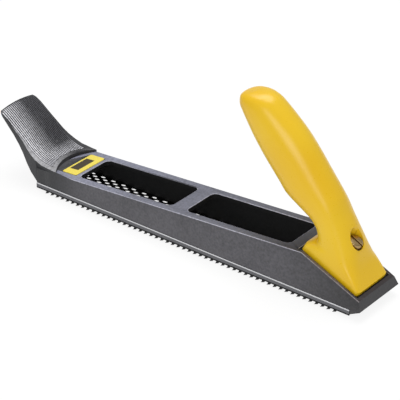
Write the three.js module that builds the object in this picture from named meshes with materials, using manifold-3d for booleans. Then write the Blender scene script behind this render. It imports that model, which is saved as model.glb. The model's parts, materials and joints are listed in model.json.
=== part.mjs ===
// A rasp plane: a perforated rasp blade held under a hollow cast body, with a knurled thumb rest at
// the toe and one reversible handle at the heel. One screw through the handle both holds the handle
// on its seat and draws up the shoe that pulls the blade tight.
//
// Lengths are in millimetres. While the pieces are made, X runs along the blade from its heel end
// (0) towards the toe, Y across it to the left and Z up from the tooth tips.
// The last group moves all of it so that the origin is under the middle of the whole plane.

import * as THREE from "three";
import { ConvexGeometry } from "three/addons/geometries/ConvexGeometry.js";
import { mergeGeometries, mergeVertices } from "three/addons/utils/BufferGeometryUtils.js";
import Module from "manifold-3d";

const wasm = await Module();
wasm.setup();

// Fits
const fitGap = 0.3; // between pieces that touch on the real plane
const overrun = 6; // how far a cutter runs past the face that it cuts

// Blade: a standard 250 mm channel blade
const bladeLength = 250;
const bladeWidth = 41.9;
const bladeSheet = 0.8;
const flangeHeight = 6; // tooth tips to flange top
const toothDepth = 2;
const toothPitch = 4.43;
const toothLength = 2.4; // its root
const toothTipLean = 1.1; // tip ahead of the front of the tooth's root
const toePlain = 8.6; // flange without teeth at the toe
const heelPlain = 4.4; // and at the heel
const tabWidth = 18; // tabs that hook the blade at both ends
const tabRise = 5.4; // tab above the sheet
const toeTabSetback = 7.8; // toe tab's front face from the blade's toe end
const holeRowSpacing = 2.3;
const holeRowShift = 3.7; // each row's step to the toe, from the left side to the right
const holeLength = 3.6;
const holeWidth = 2.1;
const holeSideMargin = 4.2; // outermost row from the flange's outside
const holeEndMargin = 10.75; // outermost holes from the blade's ends

// Cast body
const wallThickness = 2.4;
const deckThickness = 3.2;
const ridgeX = 37; // where the deck turns down into the handle's seat
const ridgeHeight = 31.4;
const deckToeHeight = 16.1; // deck plane over the blade's toe end
const sideDraftShare = 0.0417; // how far the sides lean in, as a share of height
const heelOverhang = 7.4; // body behind the blade
const heelEdgeHeight = 6.7;
const heelRimWidth = 37.8; // seat rim, at the rear
const tabHeadroom = 0.7; // seat floor's underside above the blade's heel tab
const hollowHeelGap = 1; // room behind the blade's heel tab
const hollowToeGap = 1.3; // room in front of its toe tab
const anchorLugLength = 4.2; // lug that the toe tab hooks round
const anchorLugWidth = 14;
const anchorLugLift = 0.9; // lug above the blade sheet

// Chip openings in the deck
const openingWidth = 29.2;
const openingCornerRadius = 4;
const ridgeToOpening = 12.1;
const heelOpeningLength = 80;
const crossbarLength = 11.5;
const toeOpeningSetback = 32.1; // toe opening's end from the blade's toe end

// Thumb rest
const thumbRestReach = 35; // past the blade's toe end
const thumbRestHeight = 45.4; // top edge at the tip
const thumbRestTipWidth = 34;
const thumbRestCrown = 2.4;
const thumbRestTipThickness = 2.3;
const padLift = 0.7; // the pad starts this far above the deck
const openingToPad = 5.7; // where the pad starts to rise, from the toe opening
const landArcRadius = 31.5; // round front of the sunk label land
const openingToLandArc = 22.4; // from the toe opening to that front, on the middle plane

// Label plate
const labelLength = 12;
const labelWidth = 29;
const labelThickness = 0.5;
const labelSink = 0.5;
const openingToLabel = 2.6;

// Seat and handle
const seatDepth = 2;
const seatRim = 2.4;
const seatPastRidge = 3.4; // the seat runs out over the ridge by this
const seatFloorThickness = 3.5;
const footLength = 45.2;
const footWidth = 32.4;
const footClearance = 1;
const footFrontHeight = 5.6;
const footRearHeight = 3.4;
const footDraft = 0.3; // the foot narrows this much towards its top
const footSquareness = 16; // of its section, which would be 2 on an ellipse
const gripSetback = 1.7; // the grip starts this far down the seat from the foot's centre
const handleReach = 72.4; // from there to the end of the grip, along X
const handleRise = 96.8; // and up
const gripWidth = 28;

// Screw, washer, nut and shoe
const shankDiameter = 5;
const headDiameter = 9.2;
const headHeight = 3.3;
const slotWidth = 1.2;
const slotDepth = 1.6;
const headSeatHeight = 15.6; // washer seat in the handle, above the seat floor
const counterboreClearance = 0.65;
const shankClearance = 0.4;
const washerDiameter = 9.8;
const washerThickness = 1.2;
const washerSplit = 0.8;
const shankBladeGap = 3.1; // screw tip above the blade sheet
const nutAcross = 8;
const nutHeight = 2.7;
const shoeWidth = 15;
const shoeBlockLength = 16;
const shoeTopGap = 0.6; // shoe below the seat floor's underside
const shoeBlockHeight = 7.3;
const shoeNoseLift = 3.2; // nose above the blade sheet, which leaves room for the draw
const shoeNoseLength = 5;
const shoeTabGap = 0.35;

// Facets
const roundSides = 24;
const cornerSides = 6;
const crownSides = 8;
const handleSides = 24;

// Places that follow from those sizes
const halfBlade = bladeWidth / 2;
const sheetBottom = toothDepth;
const sheetTop = sheetBottom + bladeSheet;
const castingBottom = sheetTop + fitGap;
const rabbetTop = flangeHeight + fitGap;
const deckSlope = (ridgeHeight - deckToeHeight) / (bladeLength - ridgeX);
const deckZ = (x) => ridgeHeight - (x - ridgeX) * deckSlope;
const sideY = (z) => halfBlade - (z - castingBottom) * sideDraftShare;

// The seat falls from the ridge as steeply as the room over the blade's heel tab allows
const seatLength = footLength + 2 * footClearance;
const seatHalfWidth = footWidth / 2 + footClearance;
const rimLength = seatLength - seatPastRidge + seatRim;
const tabTop = sheetTop + tabRise;
const seatFall = ridgeHeight - tabTop - tabHeadroom;
const seatRun = Math.hypot(ridgeX, seatFall);
const tilt = Math.acos((seatDepth + seatFloorThickness) / seatRun) - Math.atan2(ridgeX, seatFall);
const seatNormal = new THREE.Vector2(-Math.sin(tilt), Math.cos(tilt));
const seatDown = new THREE.Vector2(-Math.cos(tilt), -Math.sin(tilt));
const ridge = new THREE.Vector2(ridgeX, ridgeHeight);

// A place on the middle plane, from the ridge down the seat and above its floor
const onSeat = (down, above) => ridge.clone()
  .addScaledVector(seatDown, down)
  .addScaledVector(seatNormal, above - seatDepth);
const seatCentreDown = seatLength / 2 - seatPastRidge;
const seatCentre = onSeat(seatCentreDown, 0);
const gripStart = onSeat(seatCentreDown + gripSetback, 0);
const rimRear = onSeat(rimLength, seatDepth);

const heelOpeningStart = ridgeX + ridgeToOpening;
const heelOpeningEnd = heelOpeningStart + heelOpeningLength;
const toeOpeningStart = heelOpeningEnd + crossbarLength;
const toeOpeningEnd = bladeLength - toeOpeningSetback;
const padStartX = toeOpeningEnd + openingToPad;
const landArcX = toeOpeningEnd + openingToLandArc - landArcRadius;
const labelX = toeOpeningEnd + openingToLabel + labelLength / 2;
const toeTabFront = bladeLength - toeTabSetback;
const toeTabRear = toeTabFront - bladeSheet;
const hollowToe = toeTabFront + hollowToeGap;
const thumbTipX = bladeLength + thumbRestReach;
const originX = (thumbTipX - heelOverhang) / 2;

// Materials
const paint = new THREE.MeshStandardMaterial({ color: 0x55575b, roughness: 0.55, metalness: 0.25 });
const yellow = new THREE.MeshStandardMaterial({ color: 0xe6bd2e, roughness: 0.38, metalness: 0 });
const blackSteel = new THREE.MeshStandardMaterial({ color: 0x1d1d1f, roughness: 0.5, metalness: 0.7 });
const platedSteel = new THREE.MeshStandardMaterial({ color: 0xa59c86, roughness: 0.35, metalness: 0.9 });
const zinc = new THREE.MeshStandardMaterial({ color: 0x8d8f92, roughness: 0.6, metalness: 0.6 });
const labelYellow = new THREE.MeshStandardMaterial({ color: 0xf5df5a, roughness: 0.45, metalness: 0 });

// Solids from three.js geometry, and back
function solid(geometry) {
  const bare = geometry.clone();
  bare.deleteAttribute("normal");
  bare.deleteAttribute("uv");
  const merged = mergeVertices(bare);
  return new wasm.Manifold(new wasm.Mesh({
    numProp: 3,
    vertProperties: new Float32Array(merged.attributes.position.array),
    triVerts: new Uint32Array(merged.index.array),
  }));
}

function piece(name, material, shape) {
  const cut = shape.getMesh();
  const geometry = new THREE.BufferGeometry();
  geometry.setAttribute("position", new THREE.BufferAttribute(cut.vertProperties, cut.numProp));
  geometry.setIndex(new THREE.BufferAttribute(cut.triVerts, 1));
  geometry.computeVertexNormals();
  const mesh = new THREE.Mesh(geometry, material);
  mesh.name = name;
  return mesh;
}

function block(x0, x1, y0, y1, z0, z1) {
  const geometry = new THREE.BoxGeometry(x1 - x0, y1 - y0, z1 - z0);
  geometry.translate((x0 + x1) / 2, (y0 + y1) / 2, (z0 + z1) / 2);
  return geometry;
}

// A side outline, as [x, z] points, made into a plate that is centred on the middle plane
function sidePlate(points, width) {
  const outline = new THREE.Shape(points.map(([x, z]) => new THREE.Vector2(x, z)));
  const geometry = new THREE.ExtrudeGeometry(outline, { depth: width, bevelEnabled: false });
  geometry.rotateX(Math.PI / 2);
  geometry.translate(0, width / 2, 0);
  return geometry;
}

// A convex body from points that are given for the left side and mirrored to the right
function mirroredHull(points) {
  const both = points.flatMap(([x, y, z]) => [new THREE.Vector3(x, y, z), new THREE.Vector3(x, -y, z)]);
  return new ConvexGeometry(both);
}

// Rings of equal count, joined one to the next and closed at both ends
function loft(rings) {
  const count = rings[0].length;
  const positions = rings.flat().flatMap((p) => [p.x, p.y, p.z]);
  const index = [];
  for (let ring = 0; ring + 1 < rings.length; ring += 1) {
    for (let i = 0; i < count; i += 1) {
      const a = ring * count + i;
      const b = ring * count + (i + 1) % count;
      index.push(a, b, a + count, b, b + count, a + count);
    }
  }
  const last = (rings.length - 1) * count;
  for (let i = 1; i + 1 < count; i += 1) {
    index.push(0, i + 1, i, last, last + i, last + i + 1);
  }
  const geometry = new THREE.BufferGeometry();
  geometry.setAttribute("position", new THREE.Float32BufferAttribute(positions, 3));
  geometry.setIndex(index);
  return geometry;
}

// A cylinder on the screw's axis, between two heights above the seat floor
function onScrewAxis(diameter, low, high) {
  const geometry = new THREE.CylinderGeometry(diameter / 2, diameter / 2, high - low, roundSides);
  geometry.rotateX(Math.PI / 2);
  geometry.translate(0, 0, (low + high) / 2);
  return toSeat(geometry);
}

// Turns a geometry that was made upright over the origin so that it stands on the seat's centre
function toSeat(geometry) {
  geometry.rotateY(-tilt);
  geometry.translate(seatCentre.x, 0, seatCentre.y);
  return geometry;
}

function roundedRectangle(x0, x1, y0, y1, radius) {
  const shape = new THREE.Shape();
  const quarter = Math.PI / 2;
  shape.absarc(x1 - radius, y1 - radius, radius, 0, quarter);
  shape.absarc(x0 + radius, y1 - radius, radius, quarter, 2 * quarter);
  shape.absarc(x0 + radius, y0 + radius, radius, 2 * quarter, 3 * quarter);
  shape.absarc(x1 - radius, y0 + radius, radius, 3 * quarter, 4 * quarter);
  return shape;
}

// The outside of the cast body: a long wedge whose heel is cut down to the seat's rim
function castingWedge() {
  const toeEnd = bladeLength - fitGap;
  return mirroredHull([
    [-fitGap, sideY(castingBottom), castingBottom],
    [toeEnd, sideY(castingBottom), castingBottom],
    [toeEnd, sideY(deckZ(toeEnd)), deckZ(toeEnd)],
    [ridgeX, sideY(ridgeHeight), ridgeHeight],
    [rimRear.x, heelRimWidth / 2, rimRear.y],
    [-heelOverhang, sideY(heelEdgeHeight), heelEdgeHeight],
  ]);
}

// The thumb rest: stations from where the pad starts to the tip. Each row gives, as shares of
// the way from there to the tip, where the top edge and the underside are, then their heights as
// shares of the way up to the tip, the crown as a share of the full crown and the width's taper.
const thumbShares = [
  [0, 0, 0, 0, 0.1, 0],
  [0.2, 0.2, 0.002, 0, 0.15, 0],
  [0.36, 0.37, 0.03, 0, 0.25, 0.05],
  [0.455, 0.437, 0.1, 0, 0.4, 0.15],
  [0.53, 0.53, 0.19, 0.13, 0.55, 0.35],
  [0.6, 0.6, 0.31, 0.26, 0.7, 0.6],
  [0.66, 0.66, 0.44, 0.41, 0.8, 0.8],
  [0.72, 0.72, 0.55, 0.55, 0.88, 0.9],
  [0.8, 0.8, 0.69, 0.71, 0.94, 0.96],
  [0.9, 0.905, 0.865, 0.89, 1, 1],
  [0.965, 0.965, 0.96, 0.975, 1, 1.12],
  [1, 1, 1, 1, 0.7, 1.42],
];

function thumbRest() {
  const run = thumbTipX - padStartX;
  const topStart = deckZ(padStartX) + padLift;
  const topRise = thumbRestHeight - topStart;
  const underRise = thumbRestHeight - thumbRestTipThickness - rabbetTop;
  const baseHalf = sideY(topStart);
  const rootHalf = sideY(rabbetTop);
  const tipHalf = thumbRestTipWidth / 2;
  const rings = thumbShares.map(([topShare, underShare, topUp, underUp, crown, taper]) => {
    const topX = padStartX + run * topShare;
    const underX = padStartX + run * underShare;
    const edgeZ = topStart + topRise * topUp;
    const underZ = rabbetTop + underRise * underUp;
    const half = baseHalf + (tipHalf - baseHalf) * taper;
    const underHalf = rootHalf + (tipHalf - rootHalf) * taper;
    const ring = [new THREE.Vector3(underX, underHalf, underZ)];
    for (let i = 0; i <= crownSides; i += 1) {
      const across = 1 - 2 * i / crownSides;
      const up = thumbRestCrown * crown * (1 - across * across);
      ring.push(new THREE.Vector3(topX, half * across, edgeZ + up));
    }
    ring.push(new THREE.Vector3(underX, -underHalf, underZ));
    return ring;
  });
  return solid(loft(rings));
}

// The space inside the body, open to the blade
function castingHollow() {
  const inner = sideY(castingBottom) - wallThickness - bladeSheet;
  const ceiling = (x) => deckZ(x) - deckThickness;
  const under = onSeat(seatCentreDown, -seatFloorThickness);
  const seatCeiling = (x) => under.y + (x - under.x) * Math.tan(tilt);
  const fold = (ceiling(0) - seatCeiling(0)) / (Math.tan(tilt) + deckSlope);
  return mirroredHull([
    [-hollowHeelGap, inner, castingBottom - overrun],
    [hollowToe, inner, castingBottom - overrun],
    [hollowToe, inner, ceiling(hollowToe)],
    [fold, inner, ceiling(fold)],
    [-hollowHeelGap, inner, seatCeiling(-hollowHeelGap)],
  ]);
}

// A chip opening, cut straight down through the deck
function chipOpening(start, end) {
  const half = openingWidth / 2;
  const shape = roundedRectangle(start, end, -half, half, openingCornerRadius);
  const depth = deckThickness + overrun + (end - start) * deckSlope;
  const settings = { depth, bevelEnabled: false, curveSegments: cornerSides };
  const geometry = new THREE.ExtrudeGeometry(shape, settings);
  geometry.translate(0, 0, deckZ(end) - deckThickness - overrun / 2);
  return solid(geometry);
}

// What the pad leaves free in front of it: a round land, where the deck's own plane shows
function labelLand() {
  const geometry = new THREE.CylinderGeometry(landArcRadius, landArcRadius, 2 * overrun, 4 * roundSides);
  geometry.rotateX(Math.PI / 2);
  geometry.rotateY(Math.atan(deckSlope));
  geometry.translate(landArcX, 0, deckZ(landArcX));
  return solid(geometry);
}

// A slab that lies in the deck's plane at the label, between two heights above it
function onDeck(length, width, low, high) {
  const geometry = block(-length / 2, length / 2, -width / 2, width / 2, low, high);
  geometry.rotateY(Math.atan(deckSlope));
  geometry.translate(labelX, 0, deckZ(labelX));
  return solid(geometry);
}

function makeCasting() {
  const sideRabbet = (side) => {
    const inside = side * (halfBlade - bladeSheet - fitGap);
    const outside = side * (halfBlade + overrun);
    const y0 = Math.min(inside, outside);
    const y1 = Math.max(inside, outside);
    return solid(block(-fitGap, bladeLength + overrun, y0, y1, castingBottom - overrun, rabbetTop));
  };
  const seatBox = solid(toSeat(block(
    -seatLength / 2, seatLength / 2, -seatHalfWidth, seatHalfWidth, 0, seatDepth + overrun,
  )));
  const lug = solid(block(
    toeTabRear - fitGap - anchorLugLength, toeTabRear - fitGap, -anchorLugWidth / 2, anchorLugWidth / 2,
    sheetTop + anchorLugLift, deckZ(toeTabRear) - deckThickness / 2,
  ));
  const holeDiameter = shankDiameter + 2 * shankClearance;
  const shankHole = solid(onScrewAxis(holeDiameter, -seatFloorThickness - overrun, overrun));
  const shape = solid(castingWedge())
    .add(thumbRest().subtract(labelLand()))
    .subtract(solid(castingHollow()))
    .add(lug)
    .subtract(sideRabbet(1))
    .subtract(sideRabbet(-1))
    .subtract(chipOpening(heelOpeningStart, heelOpeningEnd))
    .subtract(chipOpening(toeOpeningStart, toeOpeningEnd))
    .subtract(onDeck(labelLength + 2 * fitGap, labelWidth + 2 * fitGap, -labelSink, overrun))
    .subtract(seatBox)
    .subtract(shankHole);
  return piece("body_casting", paint, shape);
}

function makeLabel() {
  const shape = onDeck(labelLength, labelWidth, fitGap - labelSink, fitGap - labelSink + labelThickness);
  return piece("label_plate", labelYellow, shape);
}

// One side tooth, its root sunk in the flange's foot and its tip leaning to the toe
function sideTooth(rootStart, side) {
  const root = sheetBottom + bladeSheet / 2;
  const tooth = sidePlate([
    [rootStart, root],
    [rootStart, sheetBottom],
    [rootStart + toothLength + toothTipLean, 0],
    [rootStart + toothLength, sheetBottom],
    [rootStart + toothLength, root],
  ], bladeSheet);
  tooth.translate(0, side * (halfBlade - bladeSheet / 2), 0);
  return tooth;
}

// The rows of three-sided holes, each shifted to the toe from the row on its left
function holeCutters() {
  const column = 2 * toothPitch;
  const rows = Math.floor((bladeWidth - 2 * holeSideMargin) / holeRowSpacing) + 1;
  const firstRow = (rows - 1) * holeRowSpacing / 2;
  const cutters = [];
  for (let row = 0; row < rows; row += 1) {
    const y = firstRow - row * holeRowSpacing;
    const shift = (row * holeRowShift) % column;
    for (let x = holeEndMargin + shift; x < bladeLength - holeEndMargin - holeLength; x += column) {
      const hole = new THREE.Shape([
        new THREE.Vector2(x, y - holeWidth / 2),
        new THREE.Vector2(x + holeLength, y),
        new THREE.Vector2(x, y + holeWidth / 2),
      ]);
      const cutter = new THREE.ExtrudeGeometry(hole, { depth: 3 * bladeSheet, bevelEnabled: false });
      cutter.translate(0, 0, sheetBottom - bladeSheet);
      cutters.push(cutter);
    }
  }
  return solid(mergeGeometries(cutters));
}

function makeBlade() {
  const sheet = solid(block(0, bladeLength, -halfBlade, halfBlade, sheetBottom, sheetTop));
  const flange = (side) => solid(block(
    0, bladeLength, Math.min(side * halfBlade, side * (halfBlade - bladeSheet)),
    Math.max(side * halfBlade, side * (halfBlade - bladeSheet)), sheetBottom, flangeHeight,
  ));
  const tab = (rear) => solid(block(
    rear, rear + bladeSheet, -tabWidth / 2, tabWidth / 2, sheetBottom, tabTop,
  ));
  const toeNotch = solid(block(
    toeTabFront, bladeLength + overrun, -tabWidth / 2 - bladeSheet, tabWidth / 2 + bladeSheet,
    sheetBottom - overrun, sheetTop + overrun,
  ));
  const span = bladeLength - toePlain - heelPlain - toothLength;
  const toothCount = Math.floor(span / toothPitch) + 1;
  const firstRoot = bladeLength - toePlain - toothLength - (toothCount - 1) * toothPitch;
  const teeth = [];
  for (let i = 0; i < toothCount; i += 1) {
    for (const side of [1, -1]) {
      teeth.push(sideTooth(firstRoot + i * toothPitch, side));
    }
  }
  const shape = sheet
    .subtract(holeCutters())
    .subtract(toeNotch)
    .add(flange(1))
    .add(flange(-1))
    .add(tab(0))
    .add(tab(toeTabRear))
    .add(solid(mergeGeometries(teeth)));
  return piece("blade", blackSteel, shape);
}

// The handle's side outline above the foot. Each row gives the rear edge and the front edge as
// shares of the handle's reach and rise from the grip's start, the half width as a share of the
// grip's, and the section's squareness, which is 2 on an ellipse.
const handleShares = [
  [-0.19, 0.065, 0.222, 0.172, 1.07, 4],
  [-0.137, 0.165, 0.228, 0.168, 1.02, 2.7],
  [-0.057, 0.285, 0.225, 0.167, 0.97, 2.3],
  [0.008, 0.365, 0.245, 0.225, 0.93, 2.3],
  [0.068, 0.447, 0.3, 0.27, 0.93, 2.2],
  [0.13, 0.511, 0.371, 0.301, 0.95, 2.15],
  [0.19, 0.57, 0.461, 0.339, 0.98, 2.1],
  [0.243, 0.622, 0.572, 0.392, 1, 2.1],
  [0.302, 0.678, 0.645, 0.455, 1, 2.1],
  [0.432, 0.79, 0.772, 0.563, 0.995, 2.1],
  [0.506, 0.843, 0.84, 0.625, 0.98, 2.1],
  [0.578, 0.888, 0.905, 0.689, 0.957, 2.1],
  [0.662, 0.938, 0.97, 0.762, 0.92, 2.1],
  [0.752, 0.982, 1.033, 0.837, 0.865, 2.1],
  [0.845, 0.999, 1.075, 0.897, 0.77, 2.1],
  [0.917, 0.997, 1.079, 0.938, 0.61, 2.1],
  [0.962, 0.989, 1.062, 0.961, 0.44, 2.1],
  [0.989, 0.984, 1.041, 0.972, 0.22, 2.1],
];

// A closed section between a rear and a front point, as a superellipse
function handleRing(rear, front, halfWidth, squareness) {
  const ring = [];
  for (let i = 0; i < handleSides; i += 1) {
    const angle = 2 * Math.PI * (i + 0.5) / handleSides;
    const along = Math.sign(Math.cos(angle)) * Math.abs(Math.cos(angle)) ** (2 / squareness);
    const across = Math.sign(Math.sin(angle)) * Math.abs(Math.sin(angle)) ** (2 / squareness);
    const spot = rear.clone().lerp(front, (1 + along) / 2);
    ring.push(new THREE.Vector3(spot.x, halfWidth * across, spot.y));
  }
  return ring;
}

function makeHandle() {
  const half = footLength / 2;
  const footRing = (aboveRear, aboveFront, shrink, squareness) => handleRing(
    onSeat(seatCentreDown + half - shrink, aboveRear), onSeat(seatCentreDown - half + shrink, aboveFront),
    footWidth / 2 - shrink, squareness,
  );
  const at = (reach, rise) => new THREE.Vector2(
    gripStart.x + handleReach * reach, gripStart.y + handleRise * rise,
  );
  const rings = [
    footRing(fitGap, fitGap, 0, footSquareness),
    footRing(footRearHeight, footFrontHeight, footDraft, footSquareness - 1),
  ];
  for (const [rearX, rearZ, frontX, frontZ, width, squareness] of handleShares) {
    rings.push(handleRing(at(rearX, rearZ), at(frontX, frontZ), width * gripWidth / 2, squareness));
  }
  const bore = solid(onScrewAxis(shankDiameter + 2 * shankClearance, -overrun, headSeatHeight + overrun));
  const counterbore = solid(onScrewAxis(
    washerDiameter + 2 * counterboreClearance, headSeatHeight, headSeatHeight + handleRise,
  ));
  const shape = solid(loft(rings)).subtract(bore).subtract(counterbore);
  return piece("handle", yellow, shape);
}

function makeScrew() {
  const headLow = headSeatHeight + washerThickness + 2 * fitGap;
  const tipZ = sheetTop + shankBladeGap + Math.sin(tilt) * shankDiameter / 2;
  const tip = (tipZ - seatCentre.y) / Math.cos(tilt);
  const slot = toSeat(block(
    -headDiameter, headDiameter, -slotWidth / 2, slotWidth / 2, headLow + headHeight - slotDepth,
    headLow + headHeight + overrun,
  ));
  const shape = solid(onScrewAxis(headDiameter, headLow, headLow + headHeight))
    .add(solid(onScrewAxis(shankDiameter, tip, headLow + headHeight / 2)))
    .subtract(solid(slot));
  return piece("handle_screw", platedSteel, shape);
}

function makeWasher() {
  const low = headSeatHeight + fitGap;
  const split = toSeat(block(
    0, washerDiameter, -washerSplit / 2, washerSplit / 2, low - washerThickness, low + 2 * washerThickness,
  ));
  const shape = solid(onScrewAxis(washerDiameter, low, low + washerThickness))
    .subtract(solid(onScrewAxis(shankDiameter + 2 * fitGap, low - overrun, low + overrun)))
    .subtract(solid(split));
  return piece("spring_washer", platedSteel, shape);
}

const shoeTop = -seatFloorThickness - shoeTopGap;
const shoeBottom = shoeTop - shoeBlockHeight;

function makeShoe() {
  const half = shoeBlockLength / 2;
  const place = (down, above) => onSeat(seatCentreDown + down, above);
  const noseX = bladeSheet + shoeTabGap;
  const noseLow = sheetTop + shoeNoseLift;
  const topRear = place(half, shoeTop);
  const noseTop = topRear.y - (topRear.x - noseX) * Math.tan(tilt);
  const outline = [
    [noseX, noseTop],
    place(-half, shoeTop).toArray(),
    place(-half, shoeBottom).toArray(),
    place(half, shoeBottom).toArray(),
    [noseX + shoeNoseLength, noseLow],
    [noseX, noseLow],
  ].reverse();
  const pocket = nutAcross / 2 + fitGap;
  const shape = solid(sidePlate(outline, shoeWidth))
    .subtract(solid(onScrewAxis(shankDiameter + 2 * shankClearance, shoeBottom - overrun, 0)))
    .subtract(solid(toSeat(block(
      -pocket, pocket, -pocket, pocket, shoeBottom - overrun, shoeBottom + nutHeight + fitGap,
    ))));
  return piece("tension_shoe", zinc, shape);
}

function makeNut() {
  const half = nutAcross / 2;
  const shape = solid(toSeat(block(-half, half, -half, half, shoeBottom, shoeBottom + nutHeight)))
    .subtract(solid(onScrewAxis(shankDiameter + 2 * fitGap, shoeBottom - overrun, 0)));
  return piece("square_nut", platedSteel, shape);
}

const plane = new THREE.Group();
plane.add(makeCasting(), makeLabel(), makeBlade());
plane.add(makeHandle(), makeScrew(), makeWasher(), makeShoe(), makeNut());
plane.position.x = -originX;

const part = new THREE.Group();
part.add(plane);

export default part;
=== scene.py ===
# %% [markdown]
# # A rasp plane
# The tool is a long cast body over a perforated channel blade, with one leaning handle at the heel
# and a knurled thumb rest at the toe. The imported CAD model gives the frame, the bodies that move and
# the outer sizes. This lesson dresses it: each CAD node is replaced by a piece with rounded edges,
# real holes, ribs and finishes.

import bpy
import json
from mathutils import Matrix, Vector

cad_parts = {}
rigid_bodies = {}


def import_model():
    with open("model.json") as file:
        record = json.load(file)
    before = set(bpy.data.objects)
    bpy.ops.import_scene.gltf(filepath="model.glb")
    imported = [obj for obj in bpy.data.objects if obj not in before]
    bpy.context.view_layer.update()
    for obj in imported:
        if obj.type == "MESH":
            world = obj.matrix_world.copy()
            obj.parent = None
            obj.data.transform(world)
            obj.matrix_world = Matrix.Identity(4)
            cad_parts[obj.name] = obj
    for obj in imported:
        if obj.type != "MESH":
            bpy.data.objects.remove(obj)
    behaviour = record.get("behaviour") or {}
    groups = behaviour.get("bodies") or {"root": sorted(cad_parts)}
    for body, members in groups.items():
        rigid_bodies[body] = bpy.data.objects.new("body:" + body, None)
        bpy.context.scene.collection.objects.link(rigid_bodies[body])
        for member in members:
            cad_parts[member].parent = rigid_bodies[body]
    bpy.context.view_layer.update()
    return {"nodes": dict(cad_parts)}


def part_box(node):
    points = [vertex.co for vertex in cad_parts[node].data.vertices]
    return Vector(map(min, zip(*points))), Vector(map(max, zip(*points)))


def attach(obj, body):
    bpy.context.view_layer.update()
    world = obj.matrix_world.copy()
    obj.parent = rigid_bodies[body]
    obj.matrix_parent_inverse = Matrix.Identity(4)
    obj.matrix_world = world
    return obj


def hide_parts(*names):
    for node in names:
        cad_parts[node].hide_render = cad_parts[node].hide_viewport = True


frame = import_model()

# %% [markdown]
# ## Working by hand, in code
# Blender's operators act on what is selected. A person clicks on a face; here a small function picks
# faces by their place or normal. Everything is deselected first, because loading leaves the CAD nodes
# selected. What is done again and again, such as an extrude or a bevel, gets a short name here.

# %% Helpers for selecting
import json
import math
import bmesh
import bpy
from mathutils import Matrix, Vector

MM = 0.001
WELD = 0.01 * MM
CLOSE = 0.1 * MM


def deselect_all():
    bpy.ops.object.select_all(action="DESELECT")


def make_active(piece):
    deselect_all()
    piece.select_set(True)
    bpy.context.view_layer.objects.active = piece


def name_active(name):
    piece = bpy.context.active_object
    piece.name = name
    piece.data.name = name
    return piece


def open_mesh(piece):
    make_active(piece)
    bpy.ops.object.mode_set(mode="EDIT")
    bpy.ops.mesh.select_mode(type="VERT")
    bpy.ops.mesh.select_all(action="DESELECT")


def close_mesh():
    bpy.ops.object.mode_set(mode="OBJECT")


def pick(piece, kind, wanted):
    """In edit mode, selects the verts, edges or faces that wanted() says yes to."""
    bpy.ops.mesh.select_mode(type={"verts": "VERT", "edges": "EDGE", "faces": "FACE"}[kind])
    bpy.ops.mesh.select_all(action="DESELECT")
    mesh = bmesh.from_edit_mesh(piece.data)
    mesh.normal_update()
    chosen = [part for part in getattr(mesh, kind) if wanted(part)]
    for part in chosen:
        part.select_set(True)
    mesh.select_flush_mode()
    bmesh.update_edit_mesh(piece.data)
    return len(chosen)


def pick_whole_mesh():
    bpy.ops.mesh.select_all(action="SELECT")


def near(value, other, reach=2 * WELD):
    return abs(value - other) < reach


def run(edge, axis):
    """How far an edge goes along an axis, 0 for X, 1 for Y, 2 for Z."""
    return abs(edge.verts[0].co[axis] - edge.verts[1].co[axis])


def is_corner(edge, degrees=28):
    return (len(edge.link_faces) == 2 and edge.is_convex
            and edge.calc_face_angle(0) > math.radians(degrees))


def looks_down(face):
    return face.normal.z < -0.9


# %% Helpers for shaping
def extrude(x, y, z):
    bpy.ops.mesh.extrude_region_move(TRANSFORM_OT_translate={"value": (x, y, z)})


def slice_whole_mesh(place, direction):
    pick_whole_mesh()
    bpy.ops.mesh.bisect(plane_co=place, plane_no=direction)


def round_edges(size, segments, finish_number=-1):
    """Bevels the picked edges. A finish number paints the bevel, and -1 leaves it as it was."""
    bpy.ops.mesh.bevel(offset=size, segments=segments, affect="EDGES", material=finish_number)


def paint_picked(piece, finish_number):
    piece.active_material_index = finish_number
    bpy.ops.object.material_slot_assign()


def face_outwards():
    pick_whole_mesh()
    bpy.ops.mesh.normals_make_consistent(inside=False)


def smooth(piece, degrees=30):
    make_active(piece)
    bpy.ops.object.shade_smooth_by_angle(angle=math.radians(degrees))


def put_at(piece, place):
    """Turns and moves a piece, then puts that place into its mesh."""
    make_active(piece)
    piece.matrix_world = place
    bpy.ops.object.transform_apply(location=True, rotation=True, scale=True)


def join(pieces, name):
    """Makes one piece of several. The first one is the one that stays."""
    deselect_all()
    for piece in pieces:
        piece.select_set(True)
    bpy.context.view_layer.objects.active = pieces[0]
    bpy.ops.object.join()
    return name_active(name)


def copy_of_node(node, name):
    """A new object with a clean, merged copy of a CAD node's mesh."""
    piece = bpy.data.objects.new(name, frame["nodes"][node].data.copy())
    piece.data.name = name
    piece.data.materials.clear()
    bpy.context.scene.collection.objects.link(piece)
    open_mesh(piece)
    pick_whole_mesh()
    bpy.ops.mesh.remove_doubles(threshold=0.2 * WELD)
    bpy.ops.mesh.dissolve_limited(angle_limit=math.radians(0.5))
    close_mesh()
    return piece


# %% Helpers for modifiers
def apply_modifiers(piece):
    make_active(piece)
    for modifier in list(piece.modifiers):
        bpy.ops.object.modifier_apply(modifier=modifier.name)


def repeat_along_x(piece, count, step):
    """Copies a piece in a row and merges the copies where they meet."""
    array = piece.modifiers.new("row", "ARRAY")
    array.count = count
    array.use_relative_offset = False
    array.use_constant_offset = True
    array.constant_offset_displace = (step, 0, 0)
    array.use_merge_vertices = True
    array.merge_threshold = WELD
    apply_modifiers(piece)


def thicken(piece, thickness, side):
    """Gives a sheet a wall, on the side that its faces look to, 1, or on the other, -1."""
    wall = piece.modifiers.new("thickness", "SOLIDIFY")
    wall.thickness = thickness
    wall.offset = side
    apply_modifiers(piece)


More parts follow.
